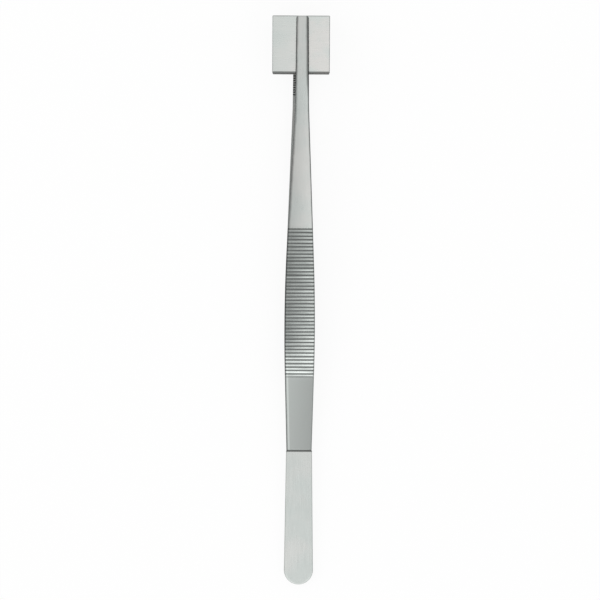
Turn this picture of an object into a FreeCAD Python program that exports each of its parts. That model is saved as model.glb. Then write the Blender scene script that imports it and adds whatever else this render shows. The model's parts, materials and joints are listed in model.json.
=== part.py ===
"""Bead masher tweezers in stainless steel, for flattening hot glass beads.

Two equal spring arms leave one welded head, and each carries a square mashing plate inside its tip.
The tool lies on the lower arm, plates to +Y, with +Z up. The middle plane between the arms leans a
little, because the end of the head and the lower grip are what touch the table.
"""

import FreeCAD, Part

import math
import os
import re

import Sketcher
from FreeCAD import Vector

# Every driving size, in millimetres and degrees. A "station" is a distance ahead of the head's front.
SIZES = {
    "overall_length": 254.0,  # rounded end of the head to the front edges of the plates
    "rest_gap": 16.0,  # between the plates' front edges, hands off
    "closed_gap": 0.3,  # left between the plates when they are squeezed parallel
    "head_length": 60.5,
    "head_front_width": 11.6,
    "head_rear_width": 13.0,
    "head_corner": 0.5,  # cut off each front corner
    "leaf_thickness": 1.8,  # one half of the head
    "shoulder_length": 0.7,  # slope from the head down to the spring
    "head_edge_chamfer": 0.4,
    "seam_depth": 0.2,  # of the V where the two leaves of the head meet
    "spring_length": 32.6,  # thin stretch between the head and the grip
    "spring_thickness": 1.3,
    "spring_root_width": 11.3,
    "ramp_round": 0.9,  # both bends of the step from the spring up to the grip
    "ramp_length": 1.4,
    "grip_thickness": 2.0,
    "grip_bow_radius": 600.0,  # the grip's outer face, seen from the side
    "grip_width": 13.6,
    "grip_widest_station": 55.0,
    "grip_swell_radius": 760.0,  # the grip's edges, seen from above
    "groove_count": 42.0,
    "groove_pitch": 1.58,
    "groove_width": 0.72,
    "groove_floor_width": 0.3,
    "groove_depth": 0.4,
    "end_land": 0.6,  # from either end of the grip to the middle of its last groove
    "shaft_slope": 1.75,  # of the straight shaft to the middle plane, squeezed shut
    "neck_bend_radius": 150.0,  # seen from the side
    "neck_curve_radius": 120.0,  # seen from above
    "neck_width": 6.1,
    "jaw_length": 37.5,  # straight stretch at the tip, which seats the plate
    "jaw_thickness": 1.5,
    "tip_width": 5.4,
    "tip_corner_radius": 1.2,
    "set_over": 0.58,  # how far each jaw sits to one side of the middle
    "arm_edge_round": 0.6,
    "tooth_count": 9.0,
    "tooth_pitch": 1.05,
    "tooth_depth": 0.35,
    "tooth_gap_mouth": 0.95,
    "tooth_gap_floor": 0.1,
    "plate_side": 25.4,
    "plate_thickness": 1.8,
    "plate_corner_radius": 0.8,
    "plate_edge_chamfer": 0.25,
}

# Sizes and places that follow from the driving ones.
DERIVED = {
    "arm_length": "overall_length - head_length",
    "blank_width": "2 * grip_width",
    "squeeze_sine": "(rest_gap - closed_gap) / 2 / arm_length",
    "squeeze_angle": "asin(squeeze_sine)",
    "plate_inner": "closed_gap / 2",
    "plate_outer": "plate_inner + plate_thickness",
    "jaw_outer": "plate_outer + jaw_thickness",
    "neck_station": "arm_length - jaw_length",
    "grip_start": "spring_length + ramp_length",
    "first_groove": "grip_start + end_land",
    "grip_end": "first_groove + (groove_count - 1) * groove_pitch + end_land",
    "grip_end_height": "jaw_outer + (neck_station - grip_end) * tan(shaft_slope)",
    "bow_station": "grip_end - grip_bow_radius * sin(shaft_slope)",
    "bow_height": "grip_end_height - grip_bow_radius * cos(shaft_slope)",
    "first_groove_lean": "asin((bow_station - first_groove) / grip_bow_radius)",
    "groove_sweep": "(groove_count - 1) * groove_pitch / grip_bow_radius * 180 / pi",
    "open_bow_station": "bow_station * cos(squeeze_angle) - bow_height * sin(squeeze_angle)",
    "open_bow_height": "bow_station * sin(squeeze_angle) + bow_height * cos(squeeze_angle)",
    "bow_ahead": "open_bow_station + head_length",
    "bow_above": "open_bow_height - leaf_thickness",
    "lie_angle": "atan2(bow_above; bow_ahead) + asin(grip_bow_radius / hypot(bow_above; bow_ahead))",
    "hinge_y": "head_length - overall_length / 2",
    "hinge_z": "head_length * sin(lie_angle) + leaf_thickness * cos(lie_angle)",
}

doc = FreeCAD.newDocument("BeadMasherTweezers")
sheet = doc.addObject("Spreadsheet::Sheet", "Sizes")
for row, (alias, number) in enumerate(SIZES.items(), start=1):
    sheet.set(f"A{row}", alias.replace("_", " "))
    sheet.set(f"B{row}", str(number))
    sheet.setAlias(f"B{row}", alias)
doc.recompute()


def tied(formula):
    """The formula as an expression on the sheet's cells, with every derived size written out."""

    def cell(match):
        word = match.group()
        if word in SIZES:
            return f"Sizes.{word}"
        return f"({tied(DERIVED[word])})" if word in DERIVED else word

    return re.sub(r"[a-z_]\w*", cell, formula)


def worth(formula):
    """What the formula comes to, in millimetres or degrees."""
    found = sheet.evalExpression(tied(formula))
    return float(getattr(found, "Value", found))


def origin_feature(body, role):
    return next(f for f in body.Origin.OriginFeatures if f.Role == role)


class Drawing:
    """A sketch on one of a body's own planes. Its lines and arcs are drawn near their places, then
    joined and sized by constraints that follow the sheet."""

    def __init__(self, body, name, plane, **offsets):
        self.sketch = body.newObject("Sketcher::SketchObject", f"{body.Label}_{name}")
        self.sketch.AttachmentSupport = [(origin_feature(body, plane), "")]
        self.sketch.MapMode = "FlatFace"
        for place, formula in offsets.items():
            self.sketch.setExpression(f"AttachmentOffset.{place.replace('_', '.')}", tied(formula))

    def line(self, start, end):
        return self.sketch.addGeometry(Part.LineSegment(Vector(*start), Vector(*end)))

    def arc(self, start, middle, end):
        return self.sketch.addGeometry(Part.Arc(Vector(*start), Vector(*middle), Vector(*end)))

    def bend(self, start, end, rise):
        """A short arc that stands off to the left of the way from its start to its end."""
        along, across = end[0] - start[0], end[1] - start[1]
        length = math.hypot(along, across)
        middle = (start[0] + end[0]) / 2, (start[1] + end[1]) / 2
        top = middle[0] - rise * across / length, middle[1] + rise * along / length
        return self.arc(start, top, end)

    def bow(self, centre, radius, start, end):
        """A long arc between two stations, over its centre, or under it where the radius is negative."""

        def point(x):
            rise = math.sqrt(radius**2 - (x - centre[0]) ** 2)
            return x, centre[1] + math.copysign(rise, radius)

        return self.arc(point(start), point((start + end) / 2), point(end))

    def rear_end(self, piece):
        """The end of a piece that is nearer to the head, as a constraint numbers it."""
        return min((1, 2), key=lambda end: self.sketch.getPoint(piece, end).x)

    def front_end(self, piece):
        return 3 - self.rear_end(piece)

    def join(self, one, other, kind):
        """Joins the two ends that lie nearest to each other."""
        gaps = {
            (i, j): self.sketch.getPoint(one, i).distanceToPoint(self.sketch.getPoint(other, j))
            for i in (1, 2)
            for j in (1, 2)
        }
        i, j = min(gaps, key=gaps.get)
        self.fix(kind, one, i, other, j)

    def chain(self, pieces, sharp):
        """Joins the pieces into a closed run, smooth everywhere but at the ends of the sharp ones."""
        for one, other in zip(pieces, pieces[1:] + pieces[:1]):
            self.join(one, other, "Coincident" if one in sharp or other in sharp else "Tangent")

    def fix(self, kind, *where):
        return self.sketch.addConstraint(Sketcher.Constraint(kind, *where))

    def size(self, kind, formula, *where):
        """A measured constraint that follows the sheet."""
        number = worth(formula)
        index = self.fix(kind, *where, math.radians(number) if kind == "Angle" else number)
        self.sketch.setExpression(f"Constraints[{index}]", tied(formula))

    def hold(self, piece, end, along=None, across=None):
        """Holds an end of a piece, or an arc's centre as end 3, at a place that follows the sheet."""
        for kind, formula in (("DistanceX", along), ("DistanceY", across)):
            if formula and worth(formula) < 0:
                self.size(kind, f"-({formula})", piece, end, -1, 1)
            elif formula:
                self.size(kind, formula, -1, 1, piece, end)

    def polygon(self, corners):
        """Straight sides between corners that are each given as two formulas."""
        points = [(worth(along), worth(across)) for along, across in corners]
        sides = [self.line(one, other) for one, other in zip(points, points[1:] + points[:1])]
        for side, following, corner in zip(sides, sides[1:] + sides[:1], corners):
            self.fix("Coincident", side, 2, following, 1)
            self.hold(side, 1, *corner)


def add_feature(body, kind, name, profile=None, **settings):
    """A feature at the end of the body. A size given as a formula follows the sheet."""
    feature = body.newObject(f"PartDesign::{kind}", f"{body.Label}_{name}")
    if profile:
        feature.Profile = (profile.sketch, [""])
    for setting, value in settings.items():
        is_choice = bool(feature.getEnumerationsOfProperty(setting))
        if isinstance(value, str) and not is_choice:
            feature.setExpression(setting, tied(value))
        else:
            setattr(feature, setting, value)
    body.Tip = feature
    doc.recompute()
    return feature


def cut(body, name, profile, **settings):
    """A pocket that has to take something away."""
    before = body.Shape.Volume
    feature = add_feature(body, "Pocket", name, profile, **settings)
    if not feature.Shape.Volume < before:
        raise ValueError(f"{feature.Label} cuts nothing")
    return feature


def add_pattern(body, kind, name, original, count, **settings):
    pattern = add_feature(body, kind, name, Originals=[original], **settings)
    pattern.setExpression("Occurrences", tied(count))
    doc.recompute()
    return pattern


# How much of a face's unit normal lies along an axis, where the face looks that way or is square to it.
FACING = 0.5
SQUARE = 0.99


def edges_where(shape, wanted):
    """Names of the edges whose two faces' normals, each at the edge's middle, are what is wanted."""
    names = []
    for number, edge in enumerate(shape.Edges, start=1):
        middle = edge.valueAt((edge.FirstParameter + edge.LastParameter) / 2)
        normals = [
            face.normalAt(*face.Surface.parameter(middle))
            for face in shape.Faces
            if any(edge.isSame(other) for other in face.Edges)
        ]
        if len(normals) == 2 and (wanted(*normals) or wanted(*reversed(normals))):
            names.append(f"Edge{number}")
    return names


def is_wall(normal):
    """The normal of an upright face."""
    return abs(normal.z) < FACING


def outer_rim(joint_side, outward=1):
    """Picks the edges where the outer face meets the sides, but for the end at the joint. The outer
    face is the upper one, or the lower one where outward is -1."""

    def wanted(face, wall):
        return face.z * outward > FACING and is_wall(wall) and wall.y * joint_side < SQUARE

    return wanted


# How far bends are first drawn from their places, before the constraints settle them.
NEAR_BEND = 2.0
SLIGHT_RISE = 0.05


def draw_arm_from_side(body):
    """The arm's thickness and bends, squeezed shut: stations run to the right, the outer face is up."""
    side = Drawing(body, "side", "YZ_Plane")
    bow = worth("bow_station"), worth("bow_height")
    outer, inner = worth("grip_bow_radius"), worth("grip_bow_radius - grip_thickness")
    ramp, start, end = worth("spring_length"), worth("grip_start"), worth("grip_end")
    neck, tip = worth("neck_station"), worth("arm_length")
    low, high, thin = worth("plate_outer"), worth("jaw_outer"), worth("spring_thickness")
    bend_start, bend_end = neck - NEAR_BEND, neck + NEAR_BEND
    neck_centre = bend_end, high + worth("neck_bend_radius")
    reach, rise = start - bow[0], math.sqrt(inner**2 - (start - bow[0]) ** 2)
    turn = start, bow[1] + rise
    spring = -inner * (turn[0] ** 2 + turn[1] ** 2) / 2 / (turn[0] * reach + turn[1] * rise)
    spring_centre = turn[0] + spring * reach / inner, turn[1] + spring * rise / inner
    foot = ramp, spring_centre[1] - math.sqrt((spring - thin) ** 2 - (ramp - spring_centre[0]) ** 2)
    top = start, bow[1] + math.sqrt(outer**2 - reach**2)
    middle = (foot[0] + top[0]) / 2, (foot[1] + top[1]) / 2

    joint = side.line((0, 0), (0, thin))
    spring_outer = side.bow(spring_centre, thin - spring, 0, ramp)
    hollow = side.bend(foot, middle, -SLIGHT_RISE)
    crest = side.bend(middle, top, SLIGHT_RISE)
    grip_outer = side.bow(bow, outer, start, end)
    shaft_outer = side.line((end, worth("grip_end_height")), (bend_start, high))
    neck_outer = side.bow(neck_centre, high - neck_centre[1], bend_start, bend_end)
    jaw_outer = side.line((bend_end, high), (tip, high))
    tip_end = side.line((tip, high), (tip, low))
    jaw_inner = side.line((tip, low), (bend_end, low))
    neck_inner = side.bow(neck_centre, low - neck_centre[1], bend_start, bend_end)
    grip_inner = side.bow(bow, inner, start, end)
    shaft_inner = side.line((bend_start, low), side.sketch.getPoint(grip_inner, 1))
    spring_inner = side.bow(spring_centre, -spring, 0, start)

    upper = [spring_outer, hollow, crest, grip_outer, shaft_outer, neck_outer, jaw_outer]
    lower = [jaw_inner, neck_inner, shaft_inner, grip_inner, spring_inner]
    side.chain([joint, *upper, tip_end, *lower], sharp=(joint, tip_end))
    side.fix("Coincident", joint, 1, -1, 1)
    side.size("Distance", "spring_thickness", joint)
    side.size("Angle", "acos(squeeze_sine)", joint)
    side.fix("Coincident", spring_outer, 3, spring_inner, 3)
    side.size("Radius", "ramp_round", hollow)
    side.size("Radius", "ramp_round", crest)
    side.hold(grip_outer, 3, "bow_station", "bow_height")
    side.size("Radius", "grip_bow_radius", grip_outer)
    side.hold(grip_outer, side.rear_end(grip_outer), "grip_start")
    side.hold(grip_outer, side.front_end(grip_outer), "grip_end")
    side.size("Radius", "neck_bend_radius", neck_outer)
    side.fix("Horizontal", jaw_outer)
    side.fix("Vertical", tip_end)
    side.fix("Horizontal", jaw_inner)
    side.hold(tip_end, 1, "arm_length", "jaw_outer")
    side.hold(tip_end, 2, None, "plate_outer")
    side.fix("Coincident", neck_outer, 3, neck_inner, 3)
    side.fix("Coincident", grip_outer, 3, grip_inner, 3)
    side.size("Radius", "grip_bow_radius - grip_thickness", grip_inner)
    side.hold(spring_inner, side.front_end(spring_inner), "grip_start")
    return side


def draw_arm_from_above(body):
    """The arm's outline inside a frame that reaches past it: stations run to the right, -X is up."""
    plan = Drawing(body, "plan", "XY_Plane", Rotation_Angle="90")
    tip, neck, widest = worth("arm_length"), worth("neck_station"), worth("grip_widest_station")
    round_tip = worth("tip_corner_radius")
    joint = plan.line((0, -worth("spring_root_width / 2")), (0, worth("spring_root_width / 2")))
    ends = []
    for side in (1, -1):
        root_edge = f"{side} * spring_root_width / 2"
        swell_centre = f"{side} * (grip_width / 2 - grip_swell_radius)"
        neck_edge = f"{side} * neck_width / 2 - set_over"
        corner_middle = f"{side} * (tip_width / 2 - tip_corner_radius) - set_over"
        radius, bend = worth("grip_swell_radius"), worth("neck_curve_radius")
        flank, edge = worth(corner_middle), worth(neck_edge)

        swell = plan.bow((widest, worth(swell_centre)), side * radius, widest / 2, widest * 3 / 2)
        spring = plan.line((0, worth(root_edge)), plan.sketch.getPoint(swell, plan.rear_end(swell)))
        neck_centre = neck, edge + side * bend
        curve = plan.bow(neck_centre, -side * bend, neck - NEAR_BEND, neck)
        shaft_ends = [
            plan.sketch.getPoint(swell, plan.front_end(swell)),
            plan.sketch.getPoint(curve, plan.rear_end(curve)),
        ]
        shaft = plan.line(*shaft_ends)
        jaw = plan.line((neck, edge), (tip - round_tip, flank + side * round_tip))
        half = round_tip * math.sqrt(0.5)
        corner = plan.arc(
            (tip - round_tip, flank + side * round_tip),
            (tip - round_tip + half, flank + side * half),
            (tip, flank),
        )
        run = [spring, swell, shaft, curve, jaw, corner]
        for one, other in zip(run, run[1:]):
            plan.join(one, other, "Tangent")
        plan.join(joint, spring, "Coincident")
        plan.fix("PointOnObject", spring, 1, -2)
        plan.hold(spring, 1, None, root_edge)
        plan.hold(swell, 3, "grip_widest_station", swell_centre)
        plan.size("Radius", "grip_swell_radius", swell)
        plan.size("Radius", "neck_curve_radius", curve)
        plan.hold(curve, plan.front_end(curve), "neck_station", neck_edge)
        plan.size("Radius", "tip_corner_radius", corner)
        plan.hold(corner, 3, "arm_length - tip_corner_radius", corner_middle)
        ends.append(corner)
    tip_end = plan.line((tip, worth("tip_width / 4")), (tip, -worth("tip_width / 4")))
    for corner in ends:
        plan.join(tip_end, corner, "Tangent")
    rear, front = "-grip_width", "arm_length + grip_width"
    left, right = "blank_width", "-blank_width"
    plan.polygon([(rear, right), (front, right), (front, left), (rear, left)])
    return plan


def draw_groove(body):
    """One groove of the grip, drawn upright at the middle of the grip's bow."""
    groove = Drawing(
        body,
        "groove_section",
        "YZ_Plane",
        Base_x="bow_station",
        Base_y="bow_height",
        Rotation_Angle="first_groove_lean",
    )
    draw_trapezium(groove, "grip_bow_radius", "-groove_depth", "groove_width", "groove_floor_width")
    return groove


def draw_tooth_gap(body):
    """One V between two teeth of the jaw, behind the plate."""
    gap = Drawing(
        body, "tooth_section", "YZ_Plane", Base_x="arm_length - plate_side - tooth_pitch / 2"
    )
    draw_trapezium(gap, "plate_outer", "tooth_depth", "tooth_gap_mouth", "tooth_gap_floor")
    return gap


def draw_trapezium(drawing, mouth_height, depth, mouth_width, floor_width):
    """A groove's section about the upright axis. It opens as much past its mouth as it goes deep."""
    flare = f"({mouth_width}) + (({mouth_width}) - ({floor_width}))"
    open_height, floor_height = f"{mouth_height} - ({depth})", f"{mouth_height} + ({depth})"
    drawing.polygon(
        [
            (f"-({flare}) / 2", open_height),
            (f"({flare}) / 2", open_height),
            (f"({floor_width}) / 2", floor_height),
            (f"-({floor_width}) / 2", floor_height),
        ]
    )


def make_arm(name):
    body = doc.addObject("PartDesign::Body", name)
    body.Label = name
    side = draw_arm_from_side(body)
    add_feature(body, "Pad", "blank", side, Length="blank_width", Midplane=True)
    plan = draw_arm_from_above(body)
    cut(body, "outline", plan, Type="ThroughAll", SideType="Symmetric")
    rim = edges_where(body.Shape, outer_rim(joint_side=-1))
    add_feature(body, "Fillet", "rim", Base=(body.Tip, rim), Radius="arm_edge_round")

    first_groove = cut(body, "groove", draw_groove(body), Type="ThroughAll", SideType="Symmetric")
    add_pattern(
        body,
        "PolarPattern",
        "grip",
        first_groove,
        "groove_count",
        Axis=(first_groove.Profile[0], ["N_Axis"]),
        Angle="groove_sweep",
        Reversed=True,
    )
    first_gap = cut(body, "tooth_gap", draw_tooth_gap(body), Type="ThroughAll", SideType="Symmetric")
    add_pattern(
        body,
        "LinearPattern",
        "teeth",
        first_gap,
        "tooth_count",
        Direction=(origin_feature(body, "Y_Axis"), [""]),
        Length="(tooth_count - 1) * tooth_pitch",
        Reversed=True,
    )
    return body


def make_head():
    """The two strips' rear ends, welded face to face: one leaf, and its mirror image under it."""
    body = doc.addObject("PartDesign::Body", "head")
    body.Label = "head"
    add_feature(body, "Pad", "leaf", draw_head_from_above(body), Length="leaf_thickness")
    shoulder = edges_where(body.Shape, lambda top, front: top.z > SQUARE and front.y > SQUARE)
    add_feature(
        body,
        "Chamfer",
        "shoulder",
        Base=(body.Tip, shoulder),
        ChamferType="Two distances",
        Size="leaf_thickness - spring_thickness",
        Size2="shoulder_length",
    )
    rim = edges_where(body.Shape, outer_rim(joint_side=1))
    add_feature(body, "Chamfer", "rim", Base=(body.Tip, rim), Size="head_edge_chamfer")
    foot = edges_where(body.Shape, outer_rim(joint_side=1, outward=-1))
    add_feature(body, "Chamfer", "seam", Base=(body.Tip, foot), Size="seam_depth")
    add_feature(
        body,
        "Mirrored",
        "other_leaf",
        TransformMode="Whole shape",
        MirrorPlane=(origin_feature(body, "XY_Plane"), [""]),
    )
    return body


def draw_head_from_above(body):
    """The head's outline: a round end, sides that draw in a little, and a front with its corners off."""
    plan = Drawing(body, "plan", "XY_Plane", Rotation_Angle="90")
    rear, radius = -worth("head_length"), worth("head_rear_width / 2")
    front, corner = worth("head_front_width / 2"), worth("head_corner")
    end = plan.arc((rear + radius, radius), (rear, 0), (rear + radius, -radius))
    joint = plan.line((0, corner - front), (0, front - corner))
    for side in (1, -1):
        flank = plan.line((-corner, side * front), (rear + radius, side * radius))
        cut_corner = plan.line((0, side * (front - corner)), (-corner, side * front))
        plan.join(joint, cut_corner, "Coincident")
        plan.join(cut_corner, flank, "Coincident")
        plan.join(flank, end, "Tangent")
        plan.hold(flank, 1, "-head_corner", f"{side} * head_front_width / 2")
        plan.hold(cut_corner, 1, None, f"{side} * (head_front_width / 2 - head_corner)")
        plan.fix("PointOnObject", cut_corner, 1, -2)
    plan.hold(end, 3, "head_rear_width / 2 - head_length")
    plan.fix("PointOnObject", end, 3, -1)
    plan.size("Radius", "head_rear_width / 2", end)
    return plan


def make_plate(name):
    """A square mashing plate as it lies when shut: its working face is the lower one."""
    body = doc.addObject("PartDesign::Body", name)
    body.Label = name
    plan = Drawing(body, "plan", "XY_Plane", Rotation_Angle="90", Base_z="plate_inner")
    rear, front = "arm_length - plate_side", "arm_length"
    left, right = "plate_side / 2", "-plate_side / 2"
    plan.polygon([(rear, right), (front, right), (front, left), (rear, left)])
    add_feature(body, "Pad", "square", plan, Length="plate_thickness")
    upright = edges_where(body.Shape, lambda one, other: is_wall(one) and is_wall(other))
    add_feature(body, "Fillet", "corners", Base=(body.Tip, upright), Radius="plate_corner_radius")
    borders = edges_where(body.Shape, lambda face, wall: abs(face.z) > SQUARE and is_wall(wall))
    add_feature(body, "Chamfer", "borders", Base=(body.Tip, borders), Size="plate_edge_chamfer")
    return body


def place(body, turn):
    """Puts a body at the hinge line in front of the head, turned from its own upright frame."""
    body.setExpression("Placement", tied(f"placement(vector(0; hinge_y; hinge_z); {turn})"))


def check(objects):
    """Stops if anything in the document has failed."""
    for thing in objects:
        if {"Invalid", "Error"} & set(thing.State):
            raise ValueError(f"{thing.Label} is {thing.State}")
        if thing.isDerivedFrom("Sketcher::SketchObject") and not thing.FullyConstrained:
            raise ValueError(f"{thing.Label} isn't fully constrained")
    for body in (b for b in objects if b.isDerivedFrom("PartDesign::Body")):
        if body.Shape.isNull() or not body.Shape.isValid() or len(body.Shape.Solids) != 1:
            raise ValueError(f"{body.Label} isn't one sound solid")


ACROSS = "vector(1; 0; 0)"
UPPER = f"rotation({ACROSS}; lie_angle + squeeze_angle)"
LOWER = f"rotation({ACROSS}; lie_angle - squeeze_angle) * rotation(vector(0; 1; 0); 180)"

head = make_head()
place(head, f"rotation({ACROSS}; lie_angle)")
subparts = [head]
for label, turn in (("upper", UPPER), ("lower", LOWER)):
    for body in (make_arm(f"{label}_arm"), make_plate(f"{label}_plate")):
        place(body, turn)
        subparts.append(body)
doc.recompute()
check(doc.Objects)

os.makedirs("parts", exist_ok=True)
for body in subparts:
    body.Shape.exportStep(f"parts/{body.Label}.step")
    size = body.Shape.BoundBox
    print(f"{body.Label}: {body.Shape.Volume:.1f} mm3, z {size.ZMin:.2f} to {size.ZMax:.2f}")
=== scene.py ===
# %% [markdown]
# # Bead masher tweezers
#
# These are long tweezers for work at a torch. A square plate inside each tip presses a hot glass bead
# flat. The real tool is two lengths of stainless strip and two plates: the strips are welded back to
# back for the first 60 mm, ground thin where they have to spring, ribbed where the fingers squeeze, and
# narrowed to a jaw that carries the plate.
#
# The solid model is the fixed frame, and each step here makes one piece or one finish on it.

# %% Load the frame
import json
import math

import bmesh
import bpy
import numpy as np
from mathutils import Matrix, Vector

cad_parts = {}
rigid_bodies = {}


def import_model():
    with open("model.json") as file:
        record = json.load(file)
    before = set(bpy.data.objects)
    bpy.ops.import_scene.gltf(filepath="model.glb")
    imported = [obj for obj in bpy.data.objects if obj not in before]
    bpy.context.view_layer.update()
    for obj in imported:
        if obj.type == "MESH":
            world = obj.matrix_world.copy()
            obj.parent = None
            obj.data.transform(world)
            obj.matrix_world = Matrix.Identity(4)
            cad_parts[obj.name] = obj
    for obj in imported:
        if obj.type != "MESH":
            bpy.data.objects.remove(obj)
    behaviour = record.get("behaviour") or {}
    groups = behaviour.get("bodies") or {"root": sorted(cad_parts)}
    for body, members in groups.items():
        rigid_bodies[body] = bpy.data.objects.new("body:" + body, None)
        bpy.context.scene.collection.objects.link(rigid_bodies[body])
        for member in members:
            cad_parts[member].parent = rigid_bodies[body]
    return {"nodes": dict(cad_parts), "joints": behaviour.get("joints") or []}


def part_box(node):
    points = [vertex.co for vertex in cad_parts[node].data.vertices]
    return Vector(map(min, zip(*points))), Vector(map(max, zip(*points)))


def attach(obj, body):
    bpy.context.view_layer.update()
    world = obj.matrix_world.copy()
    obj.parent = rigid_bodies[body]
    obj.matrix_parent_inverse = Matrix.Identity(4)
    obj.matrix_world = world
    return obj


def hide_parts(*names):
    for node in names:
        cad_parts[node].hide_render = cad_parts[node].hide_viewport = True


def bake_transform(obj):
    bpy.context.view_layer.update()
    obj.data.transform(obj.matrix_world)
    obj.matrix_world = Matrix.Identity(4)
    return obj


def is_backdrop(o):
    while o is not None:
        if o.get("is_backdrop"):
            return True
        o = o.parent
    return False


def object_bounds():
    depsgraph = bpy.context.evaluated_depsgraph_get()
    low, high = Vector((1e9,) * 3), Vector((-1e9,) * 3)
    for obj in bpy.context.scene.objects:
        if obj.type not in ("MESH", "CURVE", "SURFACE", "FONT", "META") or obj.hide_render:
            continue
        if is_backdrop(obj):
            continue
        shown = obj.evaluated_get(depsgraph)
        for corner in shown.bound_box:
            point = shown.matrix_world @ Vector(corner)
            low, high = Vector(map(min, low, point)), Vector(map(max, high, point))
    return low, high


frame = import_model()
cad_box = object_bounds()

for node in sorted(frame["nodes"]):
    low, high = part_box(node)
    print(node, [round(1000 * (b - a), 1) for a, b in zip(low, high)], "mm")

# %% [markdown]
# ## The sizes
#
# A maker would mark a strip out along its length. A station is a distance in millimetres ahead of the
# head's front edge, where the two strips part, and stations in the head are negative. Heights are
# measured from the middle plane between the strips, squeezed shut, which is how the jig holds them.

# %% Sizes along the strip
OVERALL, HEAD, REST_GAP, CLOSED_GAP = 254.0, 60.5, 16.0, 0.3
ARM = OVERALL - HEAD
LEAF, SHOULDER, SPRING_THICKNESS = 1.8, 0.7, 1.3
SPRING_END, GRIP_START = 32.6, 34.0
GRIP_THICKNESS, BOW_RADIUS = 2.0, 600.0
GROOVES, GROOVE_PITCH, END_LAND = 42, 1.58, 0.6
GRIP_END = GRIP_START + 2 * END_LAND + (GROOVES - 1) * GROOVE_PITCH
SHAFT_SLOPE, NECK_BEND = math.radians(1.75), 150.0
NECK = ARM - 37.5
PLATE_SIDE, PLATE_THICKNESS, JAW_THICKNESS = 25.4, 1.8, 1.5
PLATE_INNER = CLOSED_GAP / 2
PLATE_OUTER = PLATE_INNER + PLATE_THICKNESS
JAW_OUTER = PLATE_OUTER + JAW_THICKNESS
TEETH, TOOTH_PITCH = 9, 1.05

BOW_HEIGHT = JAW_OUTER + (NECK - GRIP_END) * math.tan(SHAFT_SLOPE) - BOW_RADIUS * math.cos(SHAFT_SLOPE)
BOW_STATION = GRIP_END - BOW_RADIUS * math.sin(SHAFT_SLOPE)
print(f"grip from {GRIP_START:.1f} to {GRIP_END:.2f}, its bow about {BOW_STATION:.2f}, {BOW_HEIGHT:.2f}")

# %% [markdown]
# ## The strip from the side
#
# Every stretch of the strip is a straight line or an arc that runs smoothly into the next, so its two
# faces are two formulas. The inner face ahead of the grip is the one straight line that touches both
# the grip's bow and the bend at the neck.

# %% Heights of the two faces
BEND_START = NECK - NECK_BEND * math.tan(SHAFT_SLOPE / 2)
BEND_END = NECK + NECK_BEND * math.tan(SHAFT_SLOPE / 2)
INNER_BOW, INNER_NECK = BOW_RADIUS - GRIP_THICKNESS, NECK_BEND + JAW_THICKNESS
turn_along, turn_up = GRIP_START - BOW_STATION, math.sqrt(INNER_BOW**2 - (GRIP_START - BOW_STATION) ** 2)
turn = GRIP_START, BOW_HEIGHT + turn_up
SPRING_RADIUS = -INNER_BOW * (turn[0]**2 + turn[1]**2) / 2 / (turn[0] * turn_along + turn[1] * turn_up)
SPRING_STATION = turn[0] + SPRING_RADIUS * turn_along / INNER_BOW
SPRING_HEIGHT = turn[1] + SPRING_RADIUS * turn_up / INNER_BOW
bow_to_neck = BEND_END - BOW_STATION, JAW_OUTER + NECK_BEND - BOW_HEIGHT
INNER_SLOPE = math.atan2(*bow_to_neck) - math.acos((INNER_BOW + INNER_NECK) / math.hypot(*bow_to_neck))
print(f"spring bent to a radius of {SPRING_RADIUS:.0f} mm")
print(f"the shaft's inner face slopes by {math.degrees(INNER_SLOPE):.2f} deg")


def over(station, centre, height, radius):
    """Height of an arc above its centre."""
    return height + np.sqrt(np.maximum(radius**2 - (station - centre) ** 2, 0))


def under(station, centre, height, radius):
    """Height of an arc below its centre."""
    return height - np.sqrt(np.maximum(radius**2 - (station - centre) ** 2, 0))


def ease(t):
    """A smooth step from 0 to 1."""
    t = np.clip(t, 0, 1)
    return t * t * (3 - 2 * t)


def outer_face(station):
    """Height of the strip's outer face, squeezed shut."""
    s = np.asarray(station, float)
    head = np.interp(s, (-SHOULDER, 0), (LEAF, SPRING_THICKNESS))
    spring = under(s, SPRING_STATION, SPRING_HEIGHT, SPRING_RADIUS - SPRING_THICKNESS)
    grip = over(s, BOW_STATION, BOW_HEIGHT, BOW_RADIUS)
    step = ease((s - SPRING_END) / (GRIP_START - SPRING_END))
    shaft = JAW_OUTER + (NECK - s) * math.tan(SHAFT_SLOPE)
    neck = under(s, BEND_END, JAW_OUTER + NECK_BEND, NECK_BEND)
    arm = np.where(s < GRIP_END, spring + (grip - spring) * step, np.where(s < BEND_START, shaft, neck))
    return np.where(s <= 0, head, np.where(s < BEND_END, arm, JAW_OUTER))


def inner_face(station):
    """Height of the strip's inner face, squeezed shut."""
    s = np.asarray(station, float)
    leave = BOW_STATION + INNER_BOW * math.sin(INNER_SLOPE)
    meet = BEND_END - INNER_NECK * math.sin(INNER_SLOPE)
    spring = under(s, SPRING_STATION, SPRING_HEIGHT, SPRING_RADIUS)
    grip = over(s, BOW_STATION, BOW_HEIGHT, INNER_BOW)
    leave_height = BOW_HEIGHT + INNER_BOW * math.cos(INNER_SLOPE)
    shaft = leave_height - (s - leave) * math.tan(INNER_SLOPE)
    neck = under(s, BEND_END, JAW_OUTER + NECK_BEND, INNER_NECK)
    back = np.where(s < GRIP_START, np.where(s <= 0, 0, spring), grip)
    front = np.where(s < meet, shaft, np.where(s < BEND_END, neck, PLATE_OUTER))
    return np.where(s < leave, back, front)


for station in (-30, 10, GRIP_START, BOW_STATION, NECK, ARM):
    print(f"station {station:.1f}: {float(inner_face(station)):.2f} to {float(outer_face(station)):.2f} mm")

# %% [markdown]
# ## The strip from above
#
# Seen from above the strip has a round end, draws in a little to the step, swells at the grip and runs
# straight down to a neck and a narrow jaw. The jaw is set a little to one side, as on the real pair,
# so that the jaws don't lie dead over each other.

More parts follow.
